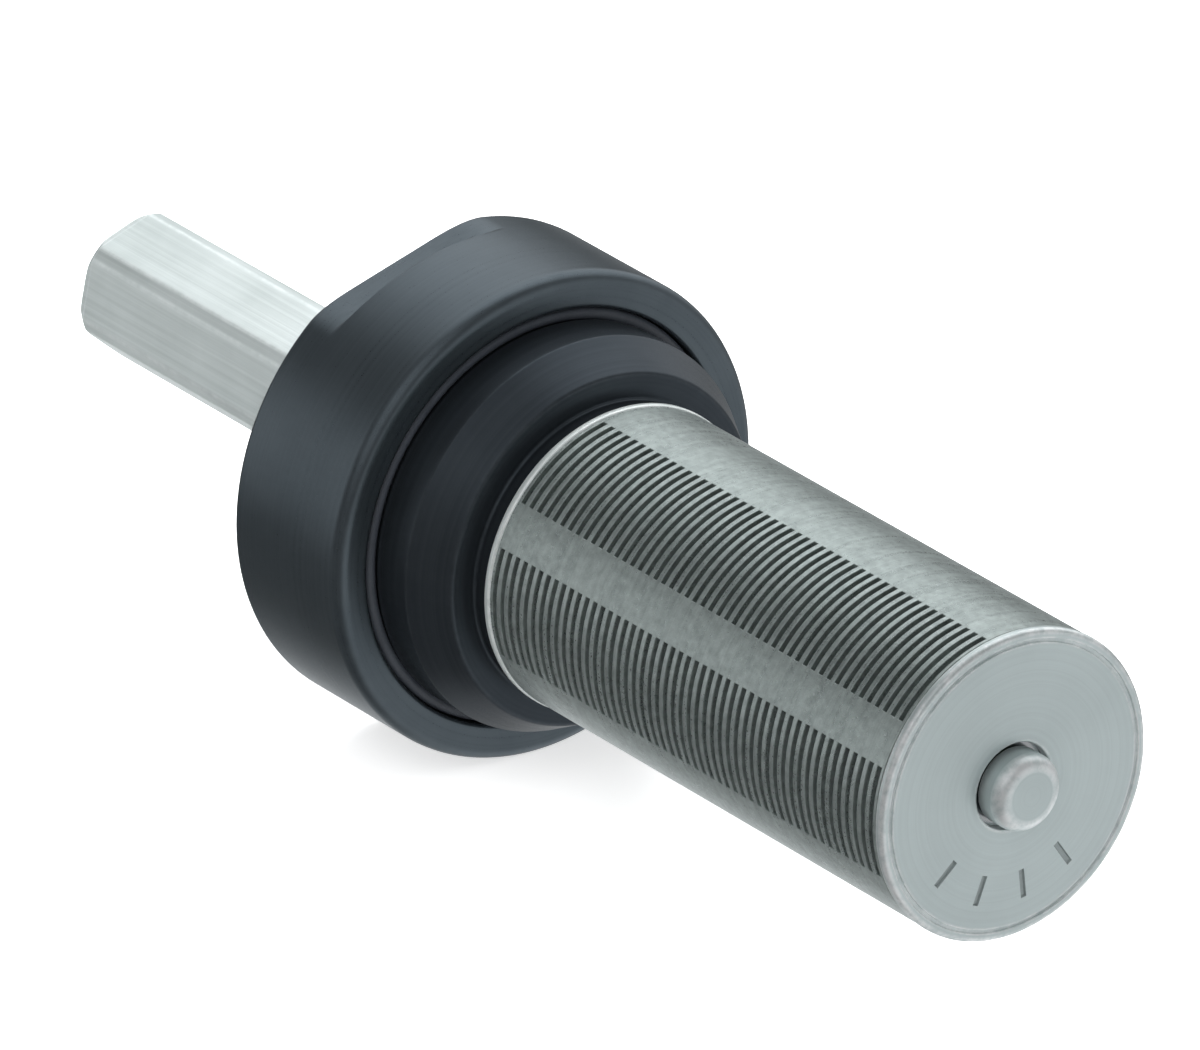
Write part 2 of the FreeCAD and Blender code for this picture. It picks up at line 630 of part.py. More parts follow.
def rod_guide():
    """Guide in the stem bore; its flats let the oil pass."""
    guide = tube(ROD_GUIDE_REAR, ROD_GUIDE_FRONT, STEM_BORE_RADIUS - STATIC_GAP, ROD_RADIUS + RUNNING_GAP)
    r0 = ROD_GUIDE_FLAT_DISTANCE
    r1 = STEM_BORE_RADIUS + PAST_SURFACE
    flats = []
    for i in range(ROD_GUIDE_FLATS):
        angle = 360.0 / ROD_GUIDE_FLATS * i
        flats.append(box_at(angle, ROD_GUIDE_REAR, ROD_GUIDE_FRONT, r0, r1, 2 * STEM_BORE_RADIUS))
    return guide.cut(flats)


def needle_button():
    """Button on the end of the rod with a rounded shoulder and a flat face."""
    body = turned([
        (BUTTON_REAR, 0),
        (BUTTON_FRONT, 0),
        (BUTTON_FRONT, BUTTON_RADIUS),
        (BUTTON_REAR, BUTTON_RADIUS),
    ])
    body = round_rims(body, BUTTON_SHOULDER, [(BUTTON_FRONT, BUTTON_RADIUS)])
    return body.cut(rod(BUTTON_REAR, ROD_FRONT + HOLE_END_PLAY, ROD_RADIUS + STATIC_GAP))


def return_spring():
    """Compression spring between the guide bush and the cup on the rod; its wire has many narrow sides."""
    x0 = CUP_FRONT + SPRING_WIRE_RADIUS + SPRING_END_PLAY
    x1 = BUSH_REAR - SPRING_WIRE_RADIUS - SPRING_END_PLAY
    height = x1 - x0
    path = Part.makeHelix(height / SPRING_TURNS, height, SPRING_RADIUS)
    corners = []
    for i in range(SPRING_WIRE_SIDES):
        turn = 2 * math.pi * i / SPRING_WIRE_SIDES
        across = SPRING_RADIUS + SPRING_WIRE_RADIUS * math.cos(turn)
        corners.append(FreeCAD.Vector(across, 0, SPRING_WIRE_RADIUS * math.sin(turn)))
    section = Part.makePolygon(corners + corners[:1])
    coil = Part.Wire(path).makePipeShell([section], True, True)
    coil.rotate(on_axis(0), FreeCAD.Vector(0, 1, 0), 90)
    coil.translate(on_axis(x0))
    return coil


def spring_cup():
    """Washer with a boss that carries the spring on the rod."""
    return turned([
        (CUP_REAR, ROD_RADIUS + STATIC_GAP),
        (CUP_BOSS_FRONT, ROD_RADIUS + STATIC_GAP),
        (CUP_BOSS_FRONT, CUP_BOSS_RADIUS),
        (CUP_FRONT, CUP_BOSS_RADIUS),
        (CUP_FRONT, CUP_RADIUS),
        (CUP_REAR, CUP_RADIUS),
    ])


def spring_clip():
    """Open clip in the rod groove that stops the cup."""
    x1 = CUP_REAR - CLIP_PLAY
    x0 = x1 - CLIP_THICKNESS
    inner = CLIP_GROOVE_RADIUS + STATIC_GAP
    cutters = [box_at(-90, x0, x1, 0, CLIP_RADIUS + PAST_SURFACE, CLIP_MOUTH_WIDTH)]
    for angle in CLIP_RELIEF_ANGLES:
        cutters.append(sector(x0, x1, inner - CLIP_GROOVE_PLAY, CLIP_RELIEF_RADIUS, angle, CLIP_RELIEF_SPREAD))
    return tube(x0, x1, CLIP_RADIUS, inner).cut(cutters)


PIECES = {
    "hex_stem": hex_stem,
    "stem_seal_ring": stem_seal_ring,
    "swirl_disc": swirl_disc,
    "orifice_disc": orifice_disc,
    "orifice_nut": orifice_nut,
    "holder": holder,
    "swivel_collar": swivel_collar,
    "thrust_washer": thrust_washer,
    "snap_ring": snap_ring,
    "drag_ring": drag_ring,
    "lock_washer": lock_washer,
    "stem_nut": stem_nut,
    "strainer_tube": strainer_tube,
    "strainer_base_ring": strainer_base_ring,
    "mesh_sleeve": mesh_sleeve,
    "mesh_cage": mesh_cage,
    "end_cap": end_cap,
    "guide_bush": guide_bush,
    "rod_seal_ring": rod_seal_ring,
    "needle_rod": needle_rod,
    "needle_tip": needle_tip,
    "rod_guide": rod_guide,
    "needle_button": needle_button,
    "return_spring": return_spring,
    "spring_cup": spring_cup,
    "spring_clip": spring_clip,
}

os.makedirs("parts", exist_ok=True)
for name, make in PIECES.items():
    shape = make()
    shape.exportStep(f"parts/{name}.step")
    print(f"{name}: volume {shape.Volume:.1f} mm3, solids {len(shape.Solids)}, valid {shape.isValid()}")
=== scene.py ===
"""Looks of the oil burner nozzle: drawn hexagonal stem, blackened swivel collar and holder, slotted
strainer tube over woven wire, pressed end cap and the needle button in its middle.

Lengths in the tables below are millimetres in the part's own frame: X along the nozzle towards the end
cap, Z up, X = 0 at the collar's front face. Angles around the axis run from -Y towards +Z.
"""
import math

import bmesh
import bpy
import numpy as np
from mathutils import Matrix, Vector


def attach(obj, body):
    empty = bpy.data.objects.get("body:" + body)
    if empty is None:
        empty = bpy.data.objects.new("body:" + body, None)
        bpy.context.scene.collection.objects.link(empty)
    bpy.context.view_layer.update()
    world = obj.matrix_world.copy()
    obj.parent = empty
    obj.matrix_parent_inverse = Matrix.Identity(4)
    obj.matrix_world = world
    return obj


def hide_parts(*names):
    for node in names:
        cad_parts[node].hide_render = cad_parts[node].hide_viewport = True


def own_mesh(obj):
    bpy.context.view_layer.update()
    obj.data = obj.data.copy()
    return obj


MM = 0.001

# ---- sizes, as on the part ------------------------------------------------------------------------

# hexagonal stem
HEX_ACROSS_FLATS = 11.0
HEX_CORNER_RADIUS = 6.05
HEX_TURN = 12.0
STEM_END = -53.5
STEM_SHOULDER = -10.0
STEM_SPIGOT_RADIUS = 5.0
STEM_FRONT = 9.0
STEM_BORE_RADIUS = 2.6
STEM_CHAMFER_RADIUS = 5.75
STEM_CHAMFER_LENGTH = 0.5
HEX_CORNER_BLEND = 0.14
POCKET_RADIUS = 4.3
POCKET_BOTTOM = -46.0

# holder
HOLDER_REAR = -12.9
HOLDER_BEARING_RADIUS = 13.0
HOLDER_FLANGE_RADIUS = 16.0
HOLDER_FLANGE_REAR = -3.5
NOSE_RADIUS = 16.2
NOSE_LIP_X = 3.6
NOSE_TIP_X = 7.1
NOSE_TIP_RADIUS = 14.4
NECK_RADIUS = 12.2
NECK_FRONT = 8.7
HOLDER_FLOOR_X = 4.0
HOLDER_RECESS_RADIUS = 10.55
SNAP_GROOVE = (-12.5, -11.5, 12.2)
DRAG_GROOVE = (-1.4, -0.2, 15.85)
STEM_FIT = 0.05
SOCKET_CORNER_BLEND = 0.1

# swivel collar
COLLAR_RADIUS = 20.0
COLLAR_REAR = -13.4
COLLAR_FRONT_BORE_RADIUS = 17.1
COLLAR_INNER_STEP_X = -4.3
COLLAR_BEARING_RADIUS = 13.05
COLLAR_REAR_RECESS_RADIUS = 14.9
COLLAR_REAR_RECESS_X = -11.4
COLLAR_FRONT_ROUND = 1.0
COLLAR_REAR_ROUND = 0.5
SPANNER_ACROSS_FLATS = 37.0
SPANNER_FLAT_FRONT = -10.4
SPANNER_FLAT_TURNS = (75.0, 255.0)
SPANNER_FLAT_RUN_OUT = 0.7
SPANNER_FLAT_DEPTH = 2.5
SPANNER_FLAT_EASE = 0.6

# strainer
TUBE_RADIUS = 12.5
TUBE_INNER_RADIUS = 11.3
TUBE_REAR = 9.4
TUBE_FRONT = 57.25
SLOT_ROWS = 49
SLOT_PITCH = 0.974
SLOT_WIDTH = 0.48
FIRST_SLOT_X = 9.95
SLOT_BANK_ANGLES = (0.0, 60.0, 180.0, 240.0)
SLOT_BANK_SPREAD = 42.5
SLOT_EDGE_ROUND = 0.06
SLOT_BANK_STEPS = 17
LAND_STEP_ANGLE = 2.5
BASE_RING_RADIUS = 12.6
PLUG_RADIUS = 11.25
BASE_PLUG_FRONT = 11.5
BASE_THREAD_REAR = 5.6
BASE_THREAD_RADIUS = 10.5
BASE_BORE_RADIUS = 9.2

# woven wire sleeve
WEAVE_RADIUS = 11.0
WEAVE_REAR = 11.65
WEAVE_FRONT = 55.15
WEAVE_PITCH = 0.5
WEAVE_COLUMNS = 138
WEAVE_WIRE_RADIUS = 0.05
WEAVE_WIRE_SIDES = 4

# end cap
CAP_FACE_X = 58.1
CAP_RIM_RADIUS = 12.55
CAP_RIM_ROUND = 0.42
CAP_PLUG_REAR = 55.3
CAP_PLUG_INNER_RADIUS = 9.6
CAP_POCKET_FLOOR_X = 56.4
CAP_HUB_RADIUS = 7.0
CAP_HUB_REAR = 53.5
CAP_HOLE_RADIUS = 3.5
CAP_GROOVE_RADIUS = 11.65
CAP_GROOVE_WIDTH = 0.3
CAP_GROOVE_DEPTH = 0.2
BUSH_BORE_RADIUS = 5.05
BUSH_FRONT = 57.2
MARK_COUNT = 4
MARK_RADIUS = 8.4
MARK_LENGTH = 2.4
MARK_WIDTH = 0.5
MARK_DEPTH = 0.15
MARK_FIRST_ANGLE = -40.0
MARK_STEP = -28.0

# needle button
BUTTON_RADIUS = 3.1
BUTTON_REAR = 57.6
BUTTON_FRONT = 60.3
BUTTON_SHOULDER = 1.1
BUTTON_BORE_RADIUS = 1.55
BUTTON_BORE_FRONT = 59.4

# sealing rings: x, middle radius, section radius
DRAG_RING = (-0.8, 16.45, 0.56)
STEM_SEAL = (-5.0, 4.6, 0.42)
ROD_SEAL = (55.0, 1.99, 0.42)
SEAL_STEPS = 48
FLASH_HEIGHT = 0.025
FLASH_SPREAD = 0.1

# return spring
SPRING_RADIUS = 3.3
SPRING_WIRE_RADIUS = 0.4
SPRING_REAR = 36.02
SPRING_FRONT = 51.98
SPRING_TURNS = 7.0
SPRING_STEPS_PER_TURN = 48
SPRING_SMOOTHING = 12
SPRING_WIRE_SIDES = 20

# camera and light
CAMERA_AZIMUTH = 53.0
CAMERA_ELEVATION = 25.6
CAMERA_DISTANCE = 1.5
CAMERA_SENSOR = 36.0
FRAME_WIDTH = 0.0921
FRAME_OFFSET_RIGHT = 0.00406
FRAME_OFFSET_UP = -0.00055
FLOOR_HALF_SIZE = 3.0
FLOOR_GLOW = 0.62
FLOOR_GAP = 0.2
SURROUND_BASE = 0.11
SURROUND_COLOUR = (0.96, 0.985, 1.0, 1)
# (direction, cosine where it begins, cosine where it is full, strength); the last one is a dark card
SURROUND_GLOWS = [
    ((-0.40, 0.62, 0.67), 0.50, 0.95, 0.88),
    ((-0.30, 0.50, -0.81), 0.62, 0.92, 0.42),
    ((-0.72, 0.44, -0.54), 0.965, 0.992, 0.40),
    ((-0.72, -0.69, 0.10), 0.90, 1.00, 0.45),
    ((0.72, 0.50, -0.45), 0.40, 0.95, 0.42),
    ((0.40, -0.60, 0.70), 0.70, 0.98, 0.30),
    ((-0.72, 0.68, 0.11), 0.966, 0.988, -0.50),
]

# fineness of turned surfaces, in steps per turn, and what counts as a real corner
STEPS_FINE = 720
STEPS_MEDIUM = 360
STEPS_SMALL = 240
SHARP_ANGLE = math.radians(32)
BEVEL_ANGLE = math.radians(50)


# ---- mesh helpers ---------------------------------------------------------------------------------

def rounded(profile, steps=6, support=0.12):
    """Closed (x, radius) outline from (x, radius, round) corners: [(x, radius, edge weight), ...].

    A rounded corner becomes an arc with edge weight 1, between two support points that keep the flats flat.
    """
    points = []
    count = len(profile)
    for i in range(count):
        corner = np.array(profile[i][:2], float)
        size = profile[i][2]
        if size <= 0:
            points.append((corner[0], corner[1], 0.0))
            continue
        before = np.array(profile[i - 1][:2], float) - corner
        after = np.array(profile[(i + 1) % count][:2], float) - corner
        length_before = np.linalg.norm(before)
        length_after = np.linalg.norm(after)
        before /= length_before
        after /= length_after
        half = math.acos(np.clip(before.dot(after), -1, 1)) / 2
        reach = size / math.tan(half)
        middle = corner + (before + after) / np.linalg.norm(before + after) * size / math.sin(half)
        start = corner + before * reach
        end = corner + after * reach
        if reach + support < length_before * 0.5:
            points.append((*(start + before * support), 0.0))
        a = start - middle
        b = end - middle
        sweep = math.pi - 2 * half
        for k in range(steps + 1):
            t = k / steps
            arc = (math.sin((1 - t) * sweep) * a + math.sin(t * sweep) * b) / math.sin(sweep)
            points.append((*(middle + arc), math.sin(math.pi * (0.15 + 0.7 * t))))
        if reach + support < length_after * 0.5:
            points.append((*(end + after * support), 0.0))
    return points


def soft_minimum(a, b, blend):
    """The smaller of two radii, with the crease between them rounded; also how near the crease it is."""
    near = np.clip(1 - np.abs(a - b) / blend, 0, 1)
    return np.minimum(a, b) - near * near * blend / 4, near


def new_object(name, mesh, body, material, replaced=()):
    """Puts a finished mesh in the scene, riding on its body and standing for its CAD nodes."""
    piece = bpy.data.objects.new(name, mesh)
    bpy.context.scene.collection.objects.link(piece)
    mesh.materials.append(material)
    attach(piece, body)
    if replaced:
        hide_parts(*replaced)
    return piece


def shade(mesh):
    """Smooth faces, with creases only where two faces meet at a real corner."""
    work = bmesh.new()
    work.from_mesh(mesh)
    bmesh.ops.remove_doubles(work, verts=work.verts, dist=1e-8)
    bmesh.ops.recalc_face_normals(work, faces=work.faces)
    for face in work.faces:
        face.smooth = True
    for edge in work.edges:
        edge.smooth = not (edge.is_manifold and edge.calc_face_angle(0) > SHARP_ANGLE)
    work.to_mesh(mesh)
    work.free()


def turned_mesh(name, outline, steps, limit=None):
    """Surface of revolution about X. limit(x, angle, radius) returns a smaller radius and an edge weight."""
    outline = np.array(outline, float)
    angles = np.arange(steps) * 2 * math.pi / steps
    x = np.repeat(outline[:, 0:1], steps, axis=1)
    radius = np.repeat(outline[:, 1:2], steps, axis=1)
    edge = np.repeat(outline[:, 2:3], steps, axis=1)
    turn = np.repeat(angles[None, :], len(outline), axis=0)
    if limit is not None:
        radius, extra = limit(x, turn, radius)
        edge = np.maximum(edge, extra)
    points = np.stack([x, -radius * np.cos(turn), radius * np.sin(turn)], axis=2).reshape(-1, 3) * MM
    rows = len(outline)
    faces = []
    for i in range(rows):
        following = (i + 1) % rows
        for j in range(steps):
            k = (j + 1) % steps
            faces.append((i * steps + j, i * steps + k, following * steps + k, following * steps + j))
    mesh = bpy.data.meshes.new(name)
    mesh.from_pydata(points.tolist(), [], faces)
    # edge weights, later used for worn edges and for the painted edge highlight
    wear_and_highlight_mask = mesh.attributes.new("edge", "FLOAT", "POINT")
    wear_and_highlight_mask.data.foreach_set("value", edge.reshape(-1))
    shade(mesh)
    return mesh


def swept_mesh(name, paths, radius, sides, closed):
    """Round wires along a list of paths, whose points are in millimetres; closed paths are loops."""
    points = []
    faces = []
    for line in paths:
        line = np.array(line, float)
        if closed:
            ahead = np.roll(line, -1, axis=0) - np.roll(line, 1, axis=0)
        else:
            ahead = np.gradient(line, axis=0)
        ahead /= np.linalg.norm(ahead, axis=1)[:, None]
        outward = line * (0, 1, 1)
        outward -= ahead * np.sum(outward * ahead, axis=1)[:, None]
        outward /= np.linalg.norm(outward, axis=1)[:, None]
        across = np.cross(ahead, outward)
        first = len(points)
        for k in range(sides):
            turn = 2 * math.pi * (k + 0.5) / sides
            points.extend(line + (outward * math.cos(turn) + across * math.sin(turn)) * radius)
        count = len(line)
        for k in range(sides):
            a = first + k * count
            b = first + (k + 1) % sides * count
            for i in range(count if closed else count - 1):
                j = (i + 1) % count
                faces.append((a + i, a + j, b + j, b + i))
        if not closed:
            faces.append([first + k * count for k in range(sides)])
            faces.append([first + k * count + count - 1 for k in range(sides)])
    mesh = bpy.data.meshes.new(name)
    mesh.from_pydata((np.array(points) * MM).tolist(), [], faces)
    shade(mesh)
    return mesh


# ---- material helpers -----------------------------------------------------------------------------

class Nodes:
    """Short way to build a node material."""

    def __init__(self, name):
        self.material = bpy.data.materials.new(name)
        self.material.use_nodes = True
        self.tree = self.material.node_tree
        self.shader = self.tree.nodes["Principled BSDF"]

    def add(self, kind, settings=None, **sockets):
        """New node; settings are its properties and sockets its inputs, by value or by link."""
        node = self.tree.nodes.new(kind)
        for key, value in (settings or {}).items():
            setattr(node, key, value)
        for key, value in sockets.items():
            self.feed(node.inputs[key.replace("_", " ")], value)
        return node

    def feed(self, socket, value):
        """Sets an input, or links it when the value is an output."""
        if isinstance(value, bpy.types.NodeSocket):
            self.tree.links.new(value, socket)
        else:
            socket.default_value = value

    def math(self, operation, a, b=0.0):
        node = self.add("ShaderNodeMath", {"operation": operation})
        self.feed(node.inputs[0], a)
        self.feed(node.inputs[1], b)
        return node.outputs[0]

    def remap(self, value, low, high, to_low, to_high):
        """Linear change of range, clamped."""
        node = self.add("ShaderNodeMapRange", Value=value, From_Min=low, From_Max=high,
                        To_Min=to_low, To_Max=to_high)
        return node.outputs[0]

    def mix(self, share, a, b):
        """Colour mix; inputs 6 and 7 and output 2 are the node's colour sockets."""
        node = self.add("ShaderNodeMix", {"data_type": "RGBA"})
        self.feed(node.inputs[0], share)
        self.feed(node.inputs[6], a)
        self.feed(node.inputs[7], b)
        return node.outputs[2]

    def noise(self, vector, scale, detail=4.0, roughness=0.6):
        node = self.add("ShaderNodeTexNoise", Vector=vector, Scale=scale, Detail=detail, Roughness=roughness)
        return node.outputs[0]

    def stretched(self, vector, scale):
        """Coordinates scaled differently along each axis."""
        return self.add("ShaderNodeMapping", Vector=vector, Scale=scale).outputs[0]


def object_coordinates(nodes):
    return nodes.add("ShaderNodeTexCoord").outputs["Object"]


def turning_coordinates(nodes, place):
    """(distance along the axis, distance from it, 0): constant around the axis, as marks left by a lathe."""
    parts = nodes.add("ShaderNodeSeparateXYZ", Vector=place)
    square_y = nodes.math("MULTIPLY", parts.outputs[1], parts.outputs[1])
    square_z = nodes.math("MULTIPLY", parts.outputs[2], parts.outputs[2])
    radius = nodes.math("SQRT", nodes.math("ADD", square_y, square_z))
    return nodes.add("ShaderNodeCombineXYZ", X=parts.outputs[0], Y=radius, Z=0.0).outputs[0]


def metal(name, dark, light, wear_and_highlight, roughness, marks, mark_scale, mark_depth, grain_scale, grain_depth,
          wear_and_highlight_share=0.7, metallic=1.0, blotch_scale=90.0):
    """Bare or finished metal: two tones in soft blotches, directional marks, fine grain, and rounded edges
    lightened in a tone that is partly wear and partly a painted highlight.

    Scales are noise cells per metre, depths are metres; the edge share is how far rounded edges take that
    lighter tone of wear and painted highlight.
    """
    nodes = Nodes(name)
    place = object_coordinates(nodes)
    if marks == "turned":
        along = nodes.stretched(turning_coordinates(nodes, place), (mark_scale, mark_scale, 1.0))
    else:
        along = nodes.stretched(place, (mark_scale * 0.012, mark_scale, mark_scale))
    lines = nodes.noise(along, 1.0, 3.0, 0.65)
    grain = nodes.noise(place, grain_scale, 3.0, 0.7)
    blotches = nodes.noise(place, blotch_scale, 4.0, 0.55)
    tone = nodes.math("ADD", nodes.remap(blotches, 0.3, 0.7, 0.0, 0.6),
                      nodes.remap(lines, 0.35, 0.65, 0.0, 0.4))
    colour = nodes.mix(tone, dark, light)
    # rounded edges take the lighter edge tone: worn metal, and at a high share a painted highlight along the
    # edge
    edge = nodes.add("ShaderNodeAttribute", {"attribute_name": "edge"}).outputs["Fac"]
    patchy = nodes.remap(nodes.noise(place, 700.0, 4.0, 0.7), 0.38, 0.6, 0.25, 1.0)
    wear_and_highlight_mask = nodes.math("MULTIPLY", nodes.math("MULTIPLY", edge, patchy), wear_and_highlight_share)
    nodes.feed(nodes.shader.inputs["Base Color"], nodes.mix(wear_and_highlight_mask, colour, wear_and_highlight))
    nodes.shader.inputs["Metallic"].default_value = metallic
    rough = nodes.math("ADD", nodes.remap(grain, 0.3, 0.7, roughness - 0.05, roughness + 0.05),
                       nodes.remap(lines, 0.3, 0.7, -0.04, 0.04))
    nodes.feed(nodes.shader.inputs["Roughness"], rough)
    fine = nodes.add("ShaderNodeBump", Height=grain, Strength=0.6, Distance=grain_depth)
    coarse = nodes.add("ShaderNodeBump", Height=lines, Strength=0.6, Distance=mark_depth,
                       Normal=fine.outputs[0])
    nodes.feed(nodes.shader.inputs["Normal"], coarse.outputs[0])
    return nodes.material


def rubber(name, tone, bloom):
    """Matt nitrile rubber with a faint bloom and a fine moulded grain."""
    nodes = Nodes(name)
    place = object_coordinates(nodes)
    patches = nodes.remap(nodes.noise(place, 260.0, 4.0, 0.6), 0.35, 0.7, 0.0, 0.6)
    nodes.feed(nodes.shader.inputs["Base Color"], nodes.mix(patches, tone, bloom))
    grain = nodes.noise(place, 6000.0, 2.0, 0.6)
    nodes.feed(nodes.shader.inputs["Roughness"], nodes.remap(grain, 0.3, 0.7, 0.5, 0.7))
    bump = nodes.add("ShaderNodeBump", Height=grain, Strength=0.5, Distance=0.00002)
    nodes.feed(nodes.shader.inputs["Normal"], bump.outputs[0])
    return nodes.material


# ---- pieces ---------------------------------------------------------------------------------------

def hexagon_radius(turn, flat_distance):
    """Distance from the axis to the stem's hexagon, whose flats are flat_distance from it."""
    sector = math.radians(60)
    off = (turn - math.radians(HEX_TURN) + sector / 2) % sector - sector / 2
    return flat_distance / np.cos(off)


def hexagon_limit(x, turn, radius):
    """Keeps the bar's outline inside its hexagon; the spigot in front of the shoulder stays round."""
    flat = hexagon_radius(turn, HEX_ACROSS_FLATS / 2)
    smaller, near = soft_minimum(radius, flat, HEX_CORNER_BLEND)
    bar = (radius > STEM_SPIGOT_RADIUS + 0.05) & (x < STEM_SHOULDER + 0.1)
    return np.where(bar, smaller, radius), np.where(bar, near, 0.0)


def make_stem(material):
    outline = rounded([
        (STEM_FRONT, STEM_BORE_RADIUS, 0.15),
        (STEM_FRONT, STEM_SPIGOT_RADIUS, 0.3),
        (STEM_SHOULDER, STEM_SPIGOT_RADIUS, 0.0),
        (STEM_SHOULDER, HEX_CORNER_RADIUS, 0.15),
        (STEM_END + STEM_CHAMFER_LENGTH, HEX_CORNER_RADIUS, 0.15),
        (STEM_END, STEM_CHAMFER_RADIUS, 0.15),
        (STEM_END, POCKET_RADIUS, 0.2),
        (POCKET_BOTTOM, POCKET_RADIUS, 0.0),
        (POCKET_BOTTOM, STEM_BORE_RADIUS, 0.1),
    ])
    mesh = turned_mesh("stem_bar", outline, STEPS_FINE, hexagon_limit)
    new_object("stem_bar", mesh, "nozzle", material, ["hex_stem"])


def flats_limit(x, turn, radius):
    """The two spanner flats at the rear edge of the collar, with a small fillet at their front end."""
    shown = radius > COLLAR_REAR_RECESS_RADIUS + 1
    near_edge = np.zeros_like(radius)
    for middle in SPANNER_FLAT_TURNS:
        off = np.cos(turn - math.radians(middle))
        flat = SPANNER_ACROSS_FLATS / 2 / np.maximum(off, 0.2)
        rise = np.clip((x - SPANNER_FLAT_FRONT) / SPANNER_FLAT_RUN_OUT, 0, 1)
        flat = flat + rise * rise * SPANNER_FLAT_DEPTH
        smaller, near = soft_minimum(radius, flat, SPANNER_FLAT_EASE)
        use = shown & (off > 0.3)
        near_edge = np.maximum(near_edge, np.where(use, near, 0.0))
        radius = np.where(use, smaller, radius)
    return radius, near_edge


def make_collar(material):
    outline = rounded([
        (COLLAR_REAR, COLLAR_REAR_RECESS_RADIUS, 0.3),
        (COLLAR_REAR_RECESS_X, COLLAR_REAR_RECESS_RADIUS, 0.1),
        (COLLAR_REAR_RECESS_X, COLLAR_BEARING_RADIUS, 0.1),
        (COLLAR_INNER_STEP_X, COLLAR_BEARING_RADIUS, 0.1),
        (COLLAR_INNER_STEP_X, COLLAR_FRONT_BORE_RADIUS, 0.1),
        (0.0, COLLAR_FRONT_BORE_RADIUS, 0.3),
        (0.0, COLLAR_RADIUS, COLLAR_FRONT_ROUND),
        *[(SPANNER_FLAT_FRONT + SPANNER_FLAT_RUN_OUT * k / 6, COLLAR_RADIUS, 0.0) for k in range(7, -2, -1)],
        (COLLAR_REAR, COLLAR_RADIUS, COLLAR_REAR_ROUND),
    ])
    mesh = turned_mesh("collar_ring", outline, STEPS_FINE, flats_limit)
    new_object("collar_ring", mesh, "collar", material, ["swivel_collar"])


def socket_limit(x, turn, radius):
    """Gives the holder's rear socket its hexagon shape."""
    flat = hexagon_radius(turn, HEX_ACROSS_FLATS / 2 + STEM_FIT)
    smaller, _ = soft_minimum(radius, flat, SOCKET_CORNER_BLEND)
    wide = radius < HEX_CORNER_RADIUS + 0.4
    socket = wide & (x < STEM_SHOULDER + 0.01) & (radius > STEM_SPIGOT_RADIUS + 0.1)
    return np.where(socket, smaller, radius), np.zeros_like(radius)


def make_holder(material):
    """Black body with its stepped nose; socket_limit turns the round rear socket into a hexagon."""
    snap_rear, snap_front, snap_radius = SNAP_GROOVE
    drag_rear, drag_front, drag_radius = DRAG_GROOVE
    outline = rounded([
        (HOLDER_REAR, HEX_CORNER_RADIUS + STEM_FIT, 0.25),
        (STEM_SHOULDER, HEX_CORNER_RADIUS + STEM_FIT, 0.0),
        (STEM_SHOULDER, STEM_SPIGOT_RADIUS + STEM_FIT, 0.0),
        (HOLDER_FLOOR_X, STEM_SPIGOT_RADIUS + STEM_FIT, 0.0),
        (HOLDER_FLOOR_X, HOLDER_RECESS_RADIUS, 0.2),
        (NECK_FRONT, HOLDER_RECESS_RADIUS, 0.1),
        (NECK_FRONT, NECK_RADIUS, 0.15),
        (NOSE_TIP_X, NECK_RADIUS, 0.25),
        (NOSE_TIP_X, NOSE_TIP_RADIUS, 0.4),
        (NOSE_LIP_X, NOSE_RADIUS, 0.35),
        (0.0, NOSE_RADIUS, 0.05),
        (0.0, HOLDER_FLANGE_RADIUS, 0.0),
        (drag_front, HOLDER_FLANGE_RADIUS, 0.0),
        (drag_front, drag_radius, 0.0),
        (drag_rear, drag_radius, 0.0),
        (drag_rear, HOLDER_FLANGE_RADIUS, 0.0),
        (HOLDER_FLANGE_REAR, HOLDER_FLANGE_RADIUS, 0.1),
        (HOLDER_FLANGE_REAR, HOLDER_BEARING_RADIUS, 0.0),
        (snap_front, HOLDER_BEARING_RADIUS, 0.0),
        (snap_front, snap_radius, 0.0),
        (snap_rear, snap_radius, 0.0),
        (snap_rear, HOLDER_BEARING_RADIUS, 0.0),
        (HOLDER_REAR, HOLDER_BEARING_RADIUS, 0.12),
    ])
    mesh = turned_mesh("holder_body", outline, STEPS_MEDIUM, socket_limit)
    new_object("holder_body", mesh, "nozzle", material, ["holder"])


def make_base_ring(material):
    outline = rounded([
        (BASE_THREAD_REAR, BASE_BORE_RADIUS, 0.2),
        (BASE_PLUG_FRONT, BASE_BORE_RADIUS, 0.2),
        (BASE_PLUG_FRONT, PLUG_RADIUS, 0.2),
        (TUBE_REAR, PLUG_RADIUS, 0.0),
        (TUBE_REAR, BASE_RING_RADIUS, 0.22),
        (NECK_FRONT, BASE_RING_RADIUS, 0.22),
        (NECK_FRONT, BASE_THREAD_RADIUS, 0.1),
        (BASE_THREAD_REAR, BASE_THREAD_RADIUS, 0.2),
    ])
    mesh = turned_mesh("base_ring", outline, STEPS_MEDIUM)
    new_object("base_ring", mesh, "nozzle", material, ["strainer_base_ring"])


def slot_columns():
    """Angles of the tube's columns, bank by bank and land by land, and whether a slot starts at each."""
    angles = []
    in_slot = []
    for i, middle in enumerate(SLOT_BANK_ANGLES):
        bank_start = middle - SLOT_BANK_SPREAD / 2
        land_start = middle + SLOT_BANK_SPREAD / 2
        land = (SLOT_BANK_ANGLES[(i + 1) % len(SLOT_BANK_ANGLES)] - middle) % 360 - SLOT_BANK_SPREAD
        land_steps = round(land / LAND_STEP_ANGLE)
        for k in range(SLOT_BANK_STEPS):
            angles.append(bank_start + SLOT_BANK_SPREAD * k / SLOT_BANK_STEPS)
            in_slot.append(True)
        for k in range(land_steps):
            angles.append(land_start + land * k / land_steps)
            in_slot.append(False)
    return angles, in_slot


